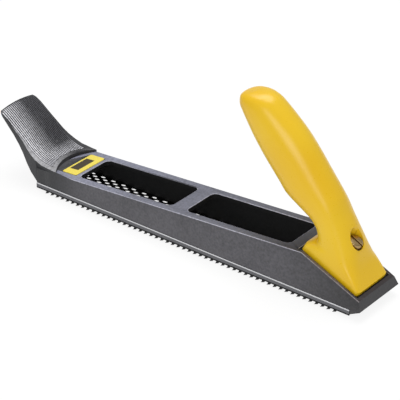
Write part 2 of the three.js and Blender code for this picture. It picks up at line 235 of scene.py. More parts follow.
def cut_away(piece, cutter):
    """Takes the cutter's shape away from a piece, and the cutter out of the scene."""
    cut = piece.modifiers.new("cut", "BOOLEAN")
    cut.operation = "DIFFERENCE"
    cut.object = cutter
    cut.solver = "EXACT"
    apply_modifiers(piece)
    bpy.data.objects.remove(cutter)


# %% [markdown]
# ## Formulas for finishes
# A finish is a sum of patterns: grain, mottling, rubbed edges with a painted highlight, painted shade.
# It could be a list of nodes and links, but `grain * 0.7 + clouds * 0.3` is easier to read, so a small
# class wraps a socket and turns each operator into a Math node.

# %% Shader maths
class Signal:
    """A node's output, with the arithmetic that the finishes use."""

    def __init__(self, finish, socket):
        self.finish = finish
        self.socket = socket

    def maths(self, operation, first, second):
        return self.finish.node("ShaderNodeMath", {"operation": operation}, {0: first, 1: second})

    def __add__(self, other):
        return self.maths("ADD", self, other)

    def __radd__(self, other):
        return self.maths("ADD", other, self)

    def __mul__(self, other):
        return self.maths("MULTIPLY", self, other)

    def __rmul__(self, other):
        return self.maths("MULTIPLY", other, self)


class Finish:
    """A material with a Principled shader, whose nodes are made by one method."""

    def __init__(self, name):
        self.material = bpy.data.materials.new(name)
        self.material.use_nodes = True
        self.tree = self.material.node_tree
        self.shader = self.tree.nodes["Principled BSDF"]
        self.place = self.node("ShaderNodeTexCoord", output="Object")

    def node(self, kind, settings=None, inputs=None, output=0):
        made = self.tree.nodes.new(kind)
        for key, value in (settings or {}).items():
            setattr(made, key, value)
        for key, value in (inputs or {}).items():
            self.feed(made.inputs[key], value)
        return Signal(self, made.outputs[output])

    def feed(self, socket, value):
        if isinstance(value, Signal):
            self.tree.links.new(value.socket, socket)
        else:
            socket.default_value = value[:3] if socket.type == "VECTOR" else value

    def set(self, **values):
        for key, value in values.items():
            self.feed(self.shader.inputs[key.replace("_", " ")], value)

    def noise(self, size, detail=2.0, stretch=(1, 1, 1)):
        """Grain whose spots are about as wide as size, in metres."""
        spread = self.node("ShaderNodeMapping", None, {"Vector": self.place, "Scale": stretch})
        return self.node("ShaderNodeTexNoise", None,
                         {"Vector": spread, "Scale": 0.6 / size, "Detail": detail})

    def between(self, share, low, high):
        """A number that goes from low to high as share goes from 0.3 to 0.7."""
        return self.node("ShaderNodeMapRange", None, {
            "Value": share, "From Min": 0.3, "From Max": 0.7, "To Min": low, "To Max": high})

    def along(self, axis, start, end):
        """A number that goes from 0 to 1 between two places on an axis, 0 for X, 1 for Y."""
        place = self.node("ShaderNodeSeparateXYZ", None, {"Vector": self.place}, output=axis)
        return self.node("ShaderNodeMapRange", None, {
            "Value": place, "From Min": start * MM, "From Max": end * MM})

    def blend(self, share, first, second):
        return self.node("ShaderNodeMix", {"data_type": "RGBA"}, {0: share, 6: first, 7: second},
                         output=2)

    def bump(self, height, depth, strength):
        return self.node("ShaderNodeBump", None,
                         {"Height": height, "Distance": depth, "Strength": strength})


# %% Colours
def colour(red, green, blue):
    """A colour as a paint program shows it, 0 to 255, made linear for the shader."""
    def linear(value):
        value /= 255
        return value / 12.92 if value <= 0.04045 else ((value + 0.055) / 1.055) ** 2.4
    return (linear(red), linear(green), linear(blue), 1.0)


def brighter(shade, share):
    """The same colour, brighter for a share above 1 and darker for one below."""
    return tuple(min(1, part * share) for part in shade[:3]) + (1.0,)


# %% [markdown]
# ## The camera
# The photograph was taken from the heel's left side, 30 degrees above the plane, with a long lens. The
# camera could come last, but it comes first here, so that each piece can be judged in the photograph's
# own frame. Its place and lens were fitted to the edges that the photograph shows.

# %% Camera
camera_place = Vector((-0.665532, 0.836883, 0.629285))
camera_forward = Vector((0.536411, -0.684571, -0.493585)).normalized()
camera_roll = math.radians(0.284)

deselect_all()
bpy.ops.object.camera_add(location=camera_place)
camera = bpy.context.active_object
camera.name = "photo_camera"
right = camera_forward.cross(Vector((0, 0, 1))).normalized()
up = right.cross(camera_forward)
turned_right = right * math.cos(camera_roll) + up * math.sin(camera_roll)
turned_up = up * math.cos(camera_roll) - right * math.sin(camera_roll)
camera.matrix_world = Matrix.Translation(camera_place) @ Matrix(
    (turned_right, turned_up, -camera_forward)).transposed().to_4x4()
camera.data.sensor_width = 36
camera.data.lens = 174.64
camera.data.dof.use_dof = False
bpy.context.scene.camera = camera
print("camera", tuple(round(v, 3) for v in camera.location))

# %% [markdown]
# ## Finishes
# The body has a dark grey stoving paint with a fine grain, rubbed paler along its upper edges, where a
# painted highlight is added as well. The handle is satin yellow plastic. The blade is blackened steel,
# bright only where it was ground. Each could be one flat colour, but a real surface varies, so two sizes
# of noise drive colour, gloss and bump. Where the photograph turns from light to dark along the body,
# the paint turns with it: painted shade and painted highlight stand in for the light.

# %% Paint on the casting
def grey_paint(name, shade, roughness=0.42, painted_light_turns=()):
    """Hammered grey paint. Each painted-light turn: an axis, two places in mm, and the painted shade or
    highlight.
    """
    paint = Finish(name)
    grain = paint.noise(0.9 * MM, detail=4)
    clouds = paint.noise(14 * MM, detail=2)
    mottled = paint.between(grain * 0.7 + clouds * 0.3, 0.62, 1.38)
    tone = shade
    for axis, start, end, other in painted_light_turns:
        tone = paint.blend(paint.along(axis, start, end), tone, other)
    paint.set(
        Base_Color=paint.node("ShaderNodeVectorMath", {"operation": "MULTIPLY"}, {0: tone, 1: mottled}),
        Roughness=paint.between(grain, roughness - 0.05, roughness + 0.08),
        Normal=paint.bump(grain, 0.06 * MM, 0.8))
    return paint.material


# Painted shade: the casting paint darkens towards the toe and towards the heel.
casting_paint_shaded_ends = grey_paint("casting_paint_shaded_ends", colour(87, 86, 91), painted_light_turns=(
    (0, 66, 99, colour(40, 41, 45)), (0, -85, -140, colour(56, 55, 57))))
# Rubbed paint and a painted highlight on the upper edges, with painted shade towards the heel.
worn_and_highlit_edge = grey_paint("worn_and_highlit_edge", colour(176, 176, 190), 0.3, painted_light_turns=(
    (0, -98, -112, colour(132, 124, 126)),))
# Painted sheen: the deck is the body's paint made lighter as if lit from above, with painted shade towards
# the heel.
deck_paint_sheen_and_shade = grey_paint("deck_paint_sheen_and_shade", colour(138, 140, 157), 0.5, painted_light_turns=(
    (0, 85, -100, colour(66, 66, 72)),))
# Painted shade: the hollow, the seat floor and the grooves between the ribs are painted near black.
painted_shade_black = grey_paint("painted_shade_black", colour(10, 10, 12), 0.7)
shaded_paint = grey_paint("shaded_paint", colour(26, 26, 30), 0.5)
# Painted highlight on the pad's near side, painted shade on its far side and at its tip.
pad_paint_highlight_and_shade = grey_paint("pad_paint_highlight_and_shade", colour(168, 168, 172), 0.4, painted_light_turns=(
    (1, 14, -8, colour(54, 54, 58)), (0, 132, 136, colour(40, 40, 44))))
land_paint = grey_paint("land_paint", colour(84, 84, 88), 0.45)
# Painted shade: the seat rim darkens towards the heel.
rim_paint_shaded_heel = grey_paint("rim_paint_shaded_heel", colour(100, 91, 88), 0.45, painted_light_turns=(
    (0, -128, -137, colour(46, 38, 39)),))
casting_finishes = [casting_paint_shaded_ends, worn_and_highlit_edge, deck_paint_sheen_and_shade, painted_shade_black]
casting_finishes += [shaded_paint, pad_paint_highlight_and_shade, land_paint, rim_paint_shaded_heel]
print("casting finishes", [finish.name for finish in casting_finishes])

# %% Plastic, steel and foil
def yellow_plastic():
    plastic = Finish("yellow_plastic")
    clouds = plastic.between(plastic.noise(25 * MM, detail=1), 0, 1)
    fine = plastic.noise(0.7 * MM, detail=2)
    plastic.set(
        Base_Color=plastic.blend(clouds, colour(242, 193, 18), colour(247, 205, 36)),
        Roughness=plastic.between(fine, 0.27, 0.34),
        Normal=plastic.bump(fine, 0.015 * MM, 0.5))
    return plastic.material


def metal(name, shade, roughness, metallic=1.0, grain=0.3 * MM, stretch=(1, 1, 1), depth=0.02 * MM):
    steel = Finish(name)
    scratches = steel.noise(grain, detail=3, stretch=stretch)
    steel.set(
        Base_Color=steel.blend(steel.between(scratches, 0, 1), brighter(shade, 0.75),
                               brighter(shade, 1.25)),
        Metallic=metallic,
        Roughness=steel.between(scratches, roughness - 0.07, roughness + 0.07),
        Normal=steel.bump(scratches, depth, 0.6))
    return steel.material


def printed_foil(name, shade):
    foil = Finish(name)
    print_grain = foil.noise(0.4 * MM)
    foil.set(
        Base_Color=foil.blend(foil.between(print_grain, 0, 1), shade, brighter(shade, 1.08)),
        Roughness=foil.between(print_grain, 0.3, 0.4))
    return foil.material


handle_finish = yellow_plastic()
black_steel = metal("black_steel", colour(15, 15, 17), 0.45, 0.6)
ground_steel = metal("ground_steel", colour(208, 208, 211), 0.32)
band_steel = metal("band_steel", colour(104, 104, 108), 0.45, 0.4)
screw_steel = metal("screw_steel", colour(176, 150, 105), 0.32, stretch=(1, 6, 1))
cast_zinc = metal("cast_zinc", colour(150, 152, 156), 0.55, 0.8, grain=0.8 * MM, depth=0.05 * MM)
label_yellow = printed_foil("label_yellow", colour(248, 226, 90))
label_dark = printed_foil("label_dark", colour(62, 50, 24))
print("finishes made", len(bpy.data.materials))

# %% [markdown]
# ## The cast body
# A sand casting has no knife edges: its corners are rounded, and the paint rubs thin along the upper
# ones. It could be modelled again from a cube, but the CAD solid has the right shape, so a merged copy
# of it is taken. Its faces are picked by place and get their own paint, some with painted sheen or
# painted shade, and the upper edges are bevelled, with a second, paler finish on the bevel: rubbed
# paint with a painted highlight.

# %% Places on the casting
deck_slope = 0.07183
ridge_x = -101.8 * MM
ridge_z = 31.4 * MM
pad_start_x = 84.8 * MM
land_centre_x = 70 * MM
land_radius = 31.5 * MM
land_end_x = 103 * MM
nose_x = 100 * MM
toe_part_x = 80 * MM
hollow_half = 17.8 * MM
hollow_start_x = ridge_x + 4 * MM
hollow_end_x = 105 * MM
hollow_below_deck = 0.5 * MM
hollow_below_seat = 1.5 * MM
seat_end_x = -100 * MM
seat_centre = Vector((-0.119439, 0, 0.021355))
seat_normal = Vector((-0.406854, 0, 0.913493)).normalized()
seat_down = Vector((-seat_normal.z, 0, seat_normal.x))
worn_and_highlit_start_x = -132 * MM
worn_and_highlit_lowest = 8 * MM
deck_reach = 0.3 * MM
land_reach = 0.8 * MM
seat_reach = 0.5 * MM
arc_reach = 0.25 * MM


def deck_height(x):
    return ridge_z - (x - ridge_x) * deck_slope


def off_axis(point):
    """Distance from the screw's axis, and height along it above the seat floor."""
    away = point - seat_centre
    high = away.dot(seat_normal)
    return (away - seat_normal * high).length, high


def above_deck(face):
    middle = face.calc_center_median()
    return middle.z - deck_height(middle.x)


def above_seat(face):
    return off_axis(face.calc_center_median())[1]


# %% Which face is which
def is_deck(face):
    return (face.normal.z > 0.98 and face.calc_center_median().x < pad_start_x
            and abs(above_deck(face)) < deck_reach)


def is_pad(face):
    return (face.normal.z > 0.3 and face.calc_center_median().x > pad_start_x
            and above_deck(face) > land_reach)


def is_land(face):
    return (face.normal.z > 0.95 and pad_start_x < face.calc_center_median().x < land_end_x
            and abs(above_deck(face)) < land_reach)


def is_seat(face):
    return face.normal.dot(seat_normal) > 0.98 and face.calc_center_median().x < seat_end_x


def is_seat_rim(face):
    return is_seat(face) and above_seat(face) > seat_reach


def is_seat_floor(face):
    return is_seat(face) and abs(above_seat(face)) < seat_reach


def is_underside(face):
    """A face of the nose that looks down."""
    return face.calc_center_median().x > nose_x and face.normal.z < -0.5


def is_inside(face):
    """A face of the hollow under the deck, but none near the toe that looks up."""
    middle = face.calc_center_median()
    if abs(middle.y) > hollow_half or above_deck(face) > -hollow_below_deck:
        return False
    if middle.x > hollow_end_x or (middle.x > toe_part_x and face.normal.z > 0.5):
        return False
    return middle.x > hollow_start_x or above_seat(face) < -hollow_below_seat


def is_arc_wall(face):
    """The upright step that curves round the land."""
    middle = face.calc_center_median()
    from_centre = math.hypot(middle.x - land_centre_x, middle.y)
    return (middle.x > pad_start_x and near(from_centre, land_radius, arc_reach)
            and abs(face.normal.z) < 0.3)


def is_upper_rim(edge):
    """An edge between a face that looks up and one that looks sideways."""
    if not is_corner(edge):
        return False
    ups = sorted(face.normal.z for face in edge.link_faces)
    middle = (edge.verts[0].co + edge.verts[1].co) / 2
    return (ups[1] > 0.75 and ups[0] < 0.6 and middle.z > worn_and_highlit_lowest
            and worn_and_highlit_start_x < middle.x < pad_start_x)


# %% Body with rounded edges
rim_round = 0.35 * MM
# Painted light on the body: sheen and shade on deck, pad and rim; painted shade on underside, arc wall,
# hollow, seat floor.
painted_faces = ((is_deck, deck_paint_sheen_and_shade), (is_pad, pad_paint_highlight_and_shade), (is_land, land_paint),
                 (is_seat_rim, rim_paint_shaded_heel), (is_underside, shaded_paint), (is_inside, painted_shade_black),
                 (is_arc_wall, shaded_paint), (is_seat_floor, painted_shade_black))

body = copy_of_node("body_casting", "cast_body")
for finish in casting_finishes:
    body.data.materials.append(finish)
open_mesh(body)
for wanted, finish in painted_faces:
    found = pick(body, "faces", wanted)
    paint_picked(body, casting_finishes.index(finish))
    print(wanted.__name__, found, "faces")
# The bevel on the upper edges gets rubbed paint with a painted highlight.
rims = pick(body, "edges", is_upper_rim)
round_edges(rim_round, 2, casting_finishes.index(worn_and_highlit_edge))
close_mesh()
smooth(body, 32)
print("cast body:", rims, "rim edges,", len(body.data.polygons), "faces")

# %% [markdown]
# ## The blade
# The real blade is one thin strip whose holes are punched so that each leaves a curled tooth below.
# The holes could be cut by hundreds of Booleans, but one modelled cell is cleaner: a rectangle bridged
# to an eight-sided hole, with the tooth pulled down from the hole's rear edge. An Array modifier
# repeats it along a row, and the rows are shifted copies.

# %% One hole with its tooth
column_step = 8.86 * MM
row_step = 2.3 * MM
row_shift = 3.7 * MM
hole_length = 4 * MM
hole_width = 2.15 * MM
tooth_drop = 1.1 * MM
tooth_curl = ((0.2 * MM, 0.55), (0.3 * MM, 0.45))
tooth_tip_share = 0.45


def is_hole_rear(vert):
    """A corner of the hole that lies towards the heel."""
    return -0.6 * hole_length < vert.co.x < -0.3 * hole_length and abs(vert.co.y) < 0.4 * hole_width


deselect_all()
bpy.ops.mesh.primitive_plane_add(size=1, location=(0, 0, 0))
cell = name_active("rasp_blade")
bpy.ops.object.mode_set(mode="EDIT")
bpy.ops.transform.resize(value=(column_step, row_step, 1))
bpy.ops.mesh.delete(type="ONLY_FACE")
pick_whole_mesh()
bpy.ops.mesh.subdivide(number_cuts=1)
bpy.ops.mesh.select_all(action="DESELECT")
bpy.ops.mesh.primitive_circle_add(vertices=8, radius=0.5, location=(0, 0, 0))
bpy.ops.transform.resize(value=(hole_length, hole_width, 1))
pick_whole_mesh()
bpy.ops.mesh.bridge_edge_loops()
corners = pick(cell, "verts", is_hole_rear)
for forward, share in tooth_curl:
    extrude(forward, 0, -share * tooth_drop)
bpy.ops.transform.resize(value=(1, tooth_tip_share, 1))
close_mesh()
print("cell faces", len(cell.data.polygons), "tooth drawn from", corners, "corners")

# %% Rows of holes
blade_low, blade_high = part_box("blade")
blade_start = blade_low.x
blade_end = blade_high.x
half_blade = blade_high.y
row_count = 15
row_margin = 12.55 * MM
sheet_top = 2.8 * MM
sheet_thickness = 0.5 * MM
edge_in_flange = 0.3 * MM
field_half = row_count * row_step / 2


def row_of_holes(number):
    """A strip of the sheet, as wide as one row and as long as the blade."""
    y = field_half - (number + 0.5) * row_step
    shift = (number * row_shift) % column_step
    first = blade_start + row_margin + shift
    count = int((blade_end - row_margin - first) / column_step) + 1
    strip = cell.copy()
    strip.data = cell.data.copy()
    bpy.context.scene.collection.objects.link(strip)
    repeat_along_x(strip, count, column_step)
    put_at(strip, Matrix.Translation((first, y, sheet_top)))
    low = first - column_step / 2
    high = low + count * column_step
    open_mesh(strip)
    for at, to in ((low, blade_start), (high, blade_end)):
        pick(strip, "edges", lambda e: all(near(v.co.x, at) for v in e.verts))
        extrude(to - at, 0, 0)
    close_mesh()
    return strip


rows = [row_of_holes(number) for number in range(row_count)]
bpy.data.objects.remove(cell)
sheet = join(rows, "rasp_blade")
open_mesh(sheet)
pick_whole_mesh()
bpy.ops.mesh.remove_doubles(threshold=WELD)
for side in (1, -1):
    pick(sheet, "edges", lambda e: len(e.link_faces) == 1
         and all(near(v.co.y, side * field_half) for v in e.verts))
    extrude(0, side * (half_blade - edge_in_flange - field_half), 0)
face_outwards()
close_mesh()
print("sheet", len(sheet.data.polygons), "faces")

# %% Toe notch
tab_half = 9 * MM
tab_thickness = 0.8 * MM
toe_tab_front = blade_end - 7.8 * MM
notch_half = tab_half + tab_thickness

open_mesh(sheet)
pick(sheet, "faces", lambda f: max(v.co.x for v in f.verts) > blade_end - CLOSE)
bpy.ops.mesh.bisect(plane_co=(toe_tab_front, 0, 0), plane_no=(1, 0, 0))
for side in (1, -1):
    pick(sheet, "faces", lambda f: f.calc_center_median().x > toe_tab_front)
    bpy.ops.mesh.bisect(plane_co=(0, side * notch_half, 0), plane_no=(0, 1, 0))
notched = pick(sheet, "faces", lambda f: f.calc_center_median().x > toe_tab_front
               and abs(f.calc_center_median().y) < notch_half)
bpy.ops.mesh.delete(type="FACE")
close_mesh()
thicken(sheet, sheet_thickness, -1)
print("notch faces", notched, "sheet with thickness", len(sheet.data.polygons), "faces")

# %% [markdown]
# ## The blade's sides
# Each side of the strip is folded up into a flange, and its lower edge is cut into slanted teeth. The
# outline could be drawn as one long polygon, but the teeth are all alike. So one tooth is drawn on a
# small grid of faces, repeated by an Array, thickened, and mirrored.

# %% One tooth of the flange
tooth_pitch = 4.43 * MM
tooth_root = 2.4 * MM
tooth_lean = 1.1 * MM
tooth_top = 2 * MM
middle_lean = 0.3 * tooth_lean
middle_shift = 0.1 * tooth_root
middle_width_share = 0.75
tooth_count = 53
toe_plain = 8.6 * MM
flange_top = 6 * MM
flange_thickness = 0.8 * MM
ground_bottom = flange_top - 0.9 * MM
band_bottom = 3 * MM
first_root = blade_end - toe_plain - tooth_root - (tooth_count - 1) * tooth_pitch


def is_root_edge(edge):
    """The part of the lower edge that a tooth hangs from."""
    return all(v.co.z < tooth_top + WELD and v.co.x < first_root + tooth_root + WELD
               for v in edge.verts)


def is_tip(vert):
    return vert.co.z < CLOSE


deselect_all()
bpy.ops.mesh.primitive_plane_add(size=1, rotation=(math.radians(90), 0, 0))
flange = name_active("blade_sides")
bpy.ops.object.transform_apply(rotation=True)
bpy.ops.object.mode_set(mode="EDIT")
pick_whole_mesh()
bpy.ops.transform.resize(value=(tooth_pitch, 1, flange_top - tooth_top))
bpy.ops.transform.translate(value=(first_root + tooth_pitch / 2, half_blade, (flange_top + tooth_top) / 2))
slice_whole_mesh((first_root + tooth_root, 0, 0), (1, 0, 0))
slice_whole_mesh((0, 0, ground_bottom), (0, 0, 1))
slice_whole_mesh((0, 0, band_bottom), (0, 0, 1))
pick(flange, "edges", is_root_edge)
extrude(middle_lean, 0, -0.5 * tooth_top)
bpy.ops.transform.resize(value=(middle_width_share, 1, 1))
bpy.ops.transform.translate(value=(middle_shift, 0, 0))
extrude(0, 0, -0.5 * tooth_top)
pick(flange, "verts", is_tip)
bpy.ops.mesh.merge(type="CENTER")
pick(flange, "verts", is_tip)
tip_x = [v.co.x for v in bmesh.from_edit_mesh(flange.data).verts if v.select][0]
bpy.ops.transform.translate(value=(first_root + tooth_root + tooth_lean - tip_x, 0, 0))
close_mesh()
print("tooth", len(flange.data.polygons), "faces")

# %% Both flanges
repeat_along_x(flange, tooth_count, tooth_pitch)
last_root = first_root + tooth_count * tooth_pitch
open_mesh(flange)
for at, to in ((first_root, blade_start), (last_root, blade_end)):
    pick(flange, "edges", lambda e: all(near(v.co.x, at) and v.co.z > tooth_top - WELD for v in e.verts))
    extrude(to - at, 0, 0)
face_outwards()
close_mesh()
thicken(flange, flange_thickness, -1 if flange.data.polygons[0].normal.y > 0 else 1)
mirror = flange.modifiers.new("other_side", "MIRROR")
mirror.use_axis = (False, True, False)
apply_modifiers(flange)
widest = max(v.co.y for v in flange.data.vertices)
print("flanges", len(flange.data.polygons), "faces, y to", round(widest, 5))

# %% Hooks at both ends
tab_top = blade_high.z
tab_bottom = sheet_top - sheet_thickness
tab_corner = 3 * MM

tabs = []
for rear in (blade_start, toe_tab_front - tab_thickness):
    deselect_all()
    bpy.ops.mesh.primitive_cube_add(size=1)
    tab = name_active("hook_tab")
    bpy.ops.object.mode_set(mode="EDIT")
    pick_whole_mesh()
    bpy.ops.transform.resize(value=(tab_thickness, 2 * tab_half, tab_top - tab_bottom))
    bpy.ops.transform.translate(value=(rear + tab_thickness / 2, 0, (tab_top + tab_bottom) / 2))
    pick(tab, "edges", lambda e: run(e, 0) > 0.5 * tab_thickness
         and e.verts[0].co.z > (tab_top + tab_bottom) / 2)
    round_edges(tab_corner, 4)
    close_mesh()
    tabs.append(tab)
blade = join([sheet, flange] + tabs, "rasp_blade")
print("blade joined,", len(blade.data.polygons), "faces")

# %% Steel on the blade
blade_finishes = [black_steel, ground_steel, band_steel]
flange_inner = half_blade - 1 * MM
flange_round = 0.2 * MM
shortest_run = 0.5 * MM


def is_flange_top(edge):
    """An edge along the flange's top, on either of its sides."""
    return (is_corner(edge, 60) and all(v.co.z > flange_top - WELD for v in edge.verts)
            and all(abs(v.co.y) > flange_inner for v in edge.verts) and run(edge, 0) > shortest_run)


def is_ground(face):
    middle = face.calc_center_median()
    return middle.z > ground_bottom and abs(middle.y) > flange_inner


def is_band(face):
    """The outer face of a flange, between the teeth and the ground strip."""
    middle = face.calc_center_median()
    return band_bottom < middle.z < ground_bottom and abs(middle.y) > half_blade - CLOSE


for finish in blade_finishes:
    blade.data.materials.append(finish)
open_mesh(blade)
pick(blade, "edges", is_flange_top)
round_edges(flange_round, 2, blade_finishes.index(ground_steel))
for wanted, finish in ((is_ground, ground_steel), (is_band, band_steel)):
    pick(blade, "faces", wanted)
    paint_picked(blade, blade_finishes.index(finish))
close_mesh()
smooth(blade)
print("blade", len(blade.data.polygons), "faces")

# %% [markdown]
# ## The handle
# The handle is one moulding: a flat foot that grows into an oval grip. It could be sculpted, but its
# outline was fitted to the photograph, so it is drawn as a stack of sections, each extruded from the
# last. Between the sections a smooth curve is followed, so that no station shows as a ridge.

# %% Sections of the grip
seat_turn = Matrix.Translation(seat_centre) @ Matrix.Rotation(-math.asin(-seat_normal.x), 4, "Y")
grip_setback_mm = 1.7
grip_start = seat_centre + seat_down * grip_setback_mm * MM
foot_half = 22.6 * MM
foot_half_width = 16.2 * MM
foot_rear_height = 3.4 * MM
foot_front_height = 5.6 * MM
foot_bottom = 0.3 * MM
foot_taper = 0.3 * MM
grip_reach = 72.4 * MM
grip_rise = 96.76 * MM
grip_half = 14 * MM
section_shares = [
    [-0.19, 0.065, 0.222, 0.172, 1.07, 4],
    [-0.137, 0.165, 0.228, 0.168, 1.02, 2.7],
    [-0.057, 0.285, 0.225, 0.167, 0.97, 2.3],
    [0.008, 0.365, 0.245, 0.225, 0.93, 2.3],
    [0.068, 0.447, 0.3, 0.27, 0.93, 2.2],
    [0.13, 0.511, 0.371, 0.301, 0.95, 2.15],
    [0.19, 0.57, 0.461, 0.339, 0.98, 2.1],
    [0.243, 0.622, 0.572, 0.392, 1, 2.1],
    [0.302, 0.678, 0.645, 0.455, 1, 2.1],
    [0.432, 0.79, 0.772, 0.563, 0.995, 2.1],
    [0.506, 0.843, 0.84, 0.625, 0.98, 2.1],
    [0.578, 0.888, 0.905, 0.689, 0.957, 2.1],
    [0.662, 0.938, 0.97, 0.762, 0.92, 2.1],
    [0.752, 0.982, 1.033, 0.837, 0.865, 2.1],
    [0.845, 0.999, 1.075, 0.897, 0.77, 2.1],
    [0.917, 0.997, 1.079, 0.938, 0.61, 2.1],
    [0.962, 0.989, 1.062, 0.961, 0.44, 2.1],
    [0.989, 0.984, 1.041, 0.972, 0.22, 2.1],
]


def foot_section(above_rear, above_front, shrink, squareness):
    """A section of the foot, from its heights above the seat floor at both ends."""
    rear = seat_centre + seat_down * (foot_half - shrink) + seat_normal * above_rear
    front = seat_centre - seat_down * (foot_half - shrink) + seat_normal * above_front
    return [rear.x, rear.z, front.x, front.z, foot_half_width - shrink, squareness]


def grip_section(shares):
    """A section of the grip, from shares of its reach, its rise and half its width."""
    rear_x, rear_z, front_x, front_z, width, squareness = shares
    return [grip_start.x + rear_x * grip_reach, grip_start.z + rear_z * grip_rise,
            grip_start.x + front_x * grip_reach, grip_start.z + front_z * grip_rise,
            width * grip_half, squareness]


stations = [foot_section(foot_bottom, foot_bottom, 0.0, 16),
            foot_section(foot_rear_height, foot_front_height, foot_taper, 15)]
stations += [grip_section(shares) for shares in section_shares]
print("stations", len(stations))

# %% A smooth curve through the sections
ring_sides = 64
steps_between = 4


def slope(step_in, step_out):
    """A curve's slope between two steps, flat where it turns back, so that it never overshoots."""
    if step_in * step_out <= 0:
        return 0.0
    return 2 * step_in * step_out / (step_in + step_out)


def curve_between(before, start, end, after, share):
    """A point on a smooth curve through start and end."""
    t, u = share, 1 - share
    point = []
    for b, s, e, a in zip(before, start, end, after):
        leaving = slope(s - b, e - s)
        arriving = slope(e - s, a - e)
        point.append(s * (1 + 2 * t) * u * u + e * t * t * (3 - 2 * t)
                     + leaving * t * u * u - arriving * t * t * u)
    return point


sections = [stations[0]]
for number in range(1, len(stations) - 1):
    before = stations[number - 1] if number > 1 else stations[number]
    after = stations[min(number + 2, len(stations) - 1)]
    for step in range(steps_between):
        sections.append(curve_between(before, stations[number], stations[number + 1], after,
                                      step / steps_between))
sections.append(stations[-1])
print("sections", len(sections))

# %% Extrude the handle through its sections
def ring_points(section):
    """Points round a section, an oval at squareness 2 and nearly a rectangle at 16."""
    rear_x, rear_z, front_x, front_z, half_width, squareness = section
    points = []
    for i in range(ring_sides):
        angle = 2 * math.pi * (i + 0.5) / ring_sides
        along = math.copysign(abs(math.cos(angle)) ** (2 / squareness), math.cos(angle))
        across = math.copysign(abs(math.sin(angle)) ** (2 / squareness), math.sin(angle))
        share = (1 + along) / 2
        points.append(Vector((rear_x + (front_x - rear_x) * share, half_width * across,
                              rear_z + (front_z - rear_z) * share)))
    return points


deselect_all()
bpy.ops.mesh.primitive_circle_add(vertices=ring_sides, radius=0.01, fill_type="NGON")
grip = name_active("grip_moulding")
bpy.ops.object.mode_set(mode="EDIT")
for number, section in enumerate(sections):
    if number:
        extrude(0, 0, 0.01)
    mesh = bmesh.from_edit_mesh(grip.data)
    cap = [face for face in mesh.faces if face.select][0]
    for vert, point in zip([loop.vert for loop in cap.loops], ring_points(section)):
        vert.co = point
    bmesh.update_edit_mesh(grip.data)
face_outwards()
close_mesh()
print("grip", len(grip.data.polygons), "faces")

# %% [markdown]
# ## The counterbore
# The screw sits at the bottom of a counterbore. The hole could be left out of the sections, but its
# axis leans through many of them. So a turned cutter with two diameters is made upright, laid on the
# screw's axis and taken away by a Boolean modifier.

# %% Counterbore
washer_seat = 15.6 * MM
counterbore_radius = 5.55 * MM
shank_hole_radius = 2.9 * MM
cutter_length = 80 * MM
shank_hole_depth = 25 * MM
scoop_round = 0.4 * MM
scoop_lowest = washer_seat + 0.3 * MM
foot_round = 0.6 * MM
foot_edge_highest = 0.4 * MM
clear_of_hole = 6 * MM


def on_scoop_rim(edge):
    """An edge where the bore leaves the grip, and none that runs down the bore's wall."""
    on_bore = all(near(away, counterbore_radius, 0.5 * CLOSE) and high > scoop_lowest
                  for away, high in [off_axis(v.co) for v in edge.verts])
    in_wall = all(near(off_axis(f.calc_center_median())[0], counterbore_radius, CLOSE)
                  for f in edge.link_faces)
    return on_bore and edge.calc_face_angle(0) > math.radians(20) and not in_wall


def is_foot_edge(edge):
    """An outer edge of the foot's lower face, and not the rim of the screw's hole."""
    return is_corner(edge, 60) and all(away > clear_of_hole and high < foot_edge_highest
                                       for away, high in [off_axis(v.co) for v in edge.verts])


deselect_all()
bpy.ops.mesh.primitive_cylinder_add(vertices=64, radius=counterbore_radius, depth=cutter_length,
                                    location=(0, 0, washer_seat + cutter_length / 2))
cutter = name_active("bore_cutter")
bpy.ops.object.transform_apply(location=True)
open_mesh(cutter)
pick(cutter, "faces", looks_down)
bpy.ops.mesh.inset(thickness=counterbore_radius - shank_hole_radius)
extrude(0, 0, -shank_hole_depth)
close_mesh()
put_at(cutter, seat_turn)
cut_away(grip, cutter)
open_mesh(grip)
scoop_edges = pick(grip, "edges", on_scoop_rim)
round_edges(scoop_round, 2)
pick(grip, "edges", is_foot_edge)
round_edges(foot_round, 3)
close_mesh()
grip.data.materials.append(handle_finish)
smooth(grip, 32)
print("scoop rim edges", scoop_edges, "grip faces", len(grip.data.polygons))

# %% [markdown]
# ## Screw and washer
# The screw's head is turned and slotted, so it starts as a cylinder whose top edge is bevelled, and
# the slot is cut by a Boolean, as a slitting saw would. The washer is a ring with a split. A cut ring
# would do, but a small section that is spun not quite all the way round leaves the split by itself.

# %% Slotted screw
head_radius = 4.6 * MM
head_low = 17.4 * MM
head_height = 3.3 * MM
head_top = head_low + head_height
head_round = 0.8 * MM
shank_radius = 2.5 * MM
shank_tip = -15.4 * MM
tip_chamfer = 0.7 * MM
slot_size = Vector((12, 1.2, 3.2)) * MM
slot_chamfer = 0.12 * MM


def is_slot_edge(edge):
    return is_corner(edge, 50) and all(
        near(abs(v.co.y), slot_size.y / 2) and v.co.z > head_top - 0.9 * MM for v in edge.verts)


deselect_all()
bpy.ops.mesh.primitive_cylinder_add(vertices=64, radius=head_radius, depth=head_height,
                                    location=(0, 0, head_low + head_height / 2))
screw = name_active("slotted_screw")
bpy.ops.object.transform_apply(location=True)
open_mesh(screw)
pick(screw, "faces", looks_down)
bpy.ops.mesh.inset(thickness=head_radius - shank_radius)
extrude(0, 0, shank_tip - head_low)
pick(screw, "edges", lambda e: is_corner(e, 60) and all(v.co.z < shank_tip + CLOSE for v in e.verts))
round_edges(tip_chamfer, 1)
pick(screw, "edges", lambda e: is_corner(e, 60) and all(v.co.z > head_top - CLOSE for v in e.verts))
round_edges(head_round, 3)
close_mesh()

